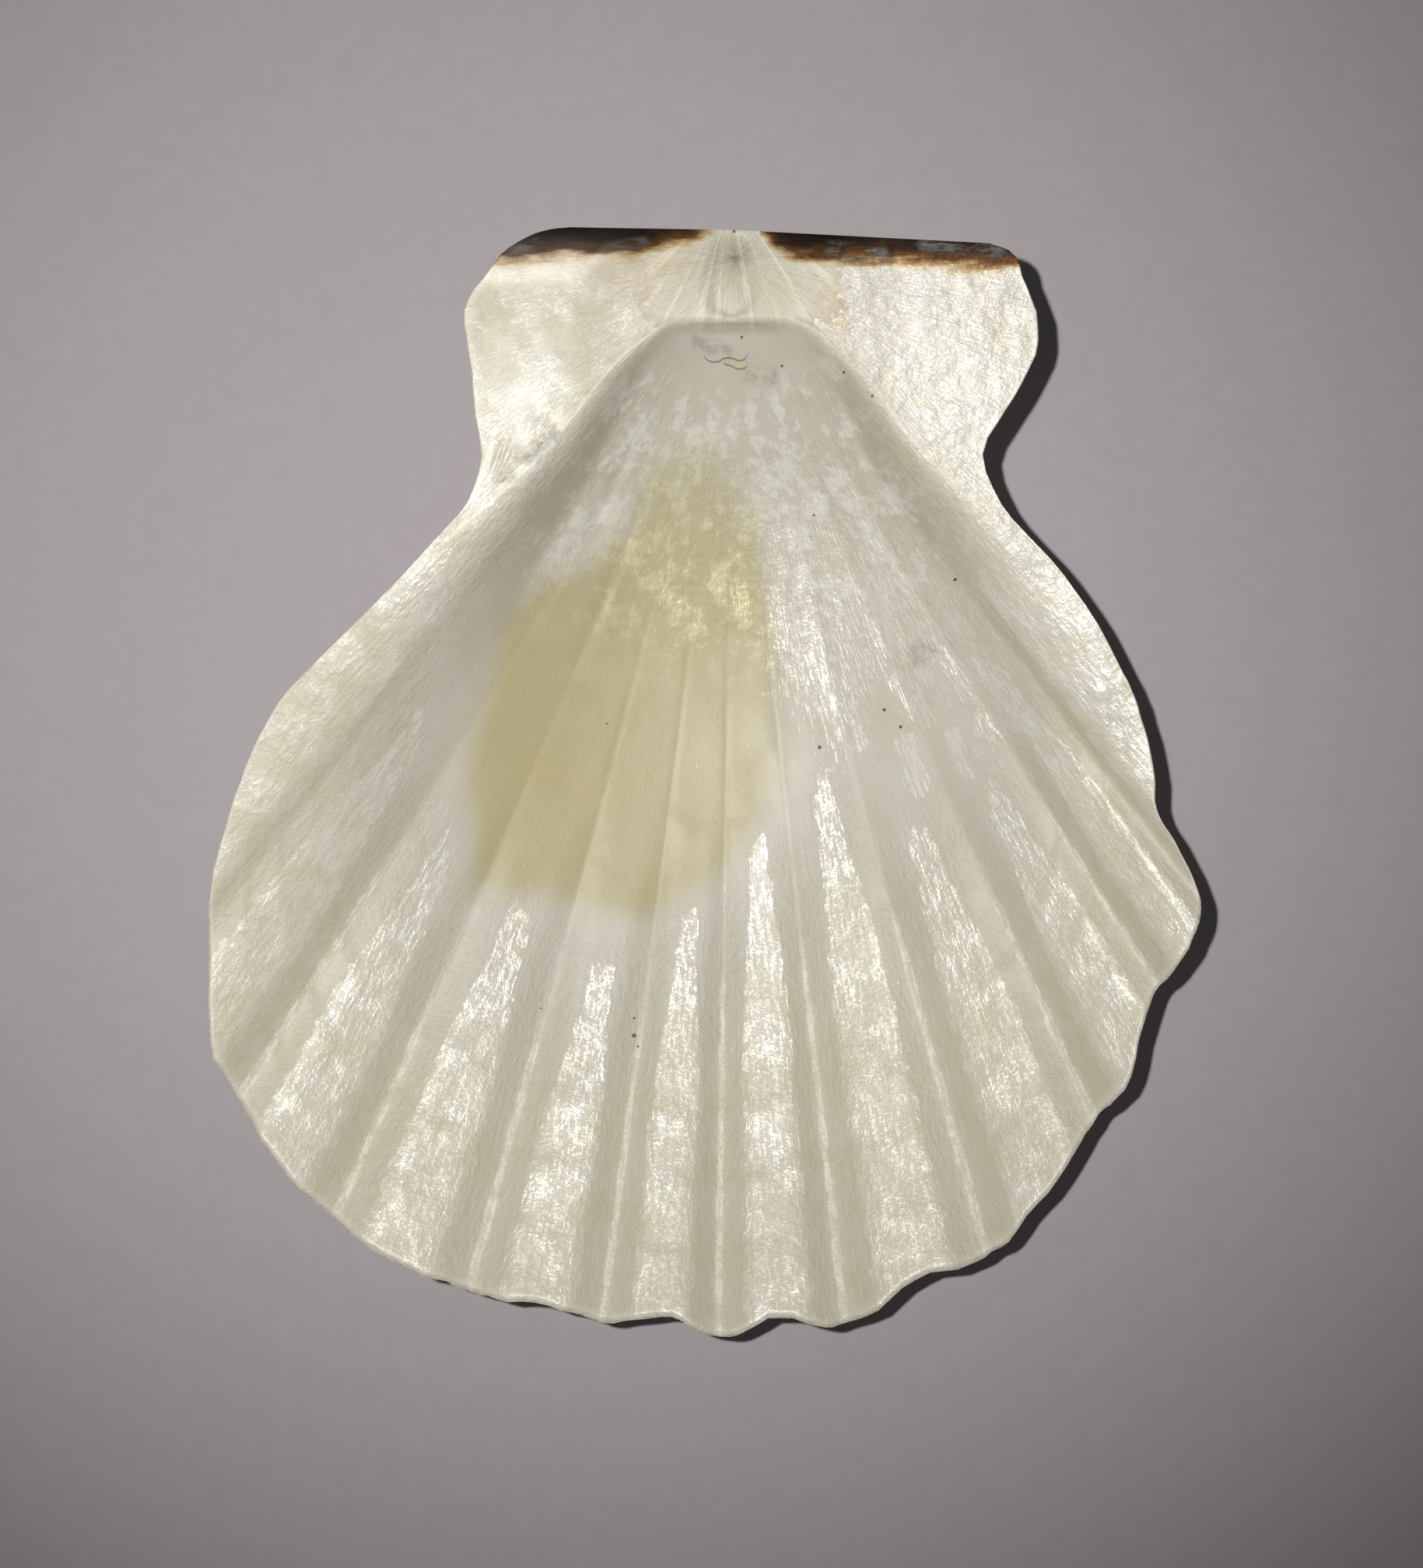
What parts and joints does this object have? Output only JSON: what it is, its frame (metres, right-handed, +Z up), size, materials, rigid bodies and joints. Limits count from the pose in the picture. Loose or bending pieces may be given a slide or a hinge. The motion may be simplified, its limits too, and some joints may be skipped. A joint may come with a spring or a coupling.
{
  "type": "scallop shell",
  "caption": "Single scallop valve with radiating ribs, two ears and a pearly hollow inside, lying on its convex back.",
  "frame": {"origin": "centre of the bounding box in plan, on the surface the shell rests on", "axes": "+Z up out of the hollow, +Y towards the hinge, +X to the right seen from above with the hinge at the top"},
  "size_m": [0.071, 0.0792, 0.0174],
  "materials": {
    "shell": "pearly off-white inside, satin"
  },
  "bodies": {
    "root": {"scallop_shell": "shell"}
  },
  "joints": []
}
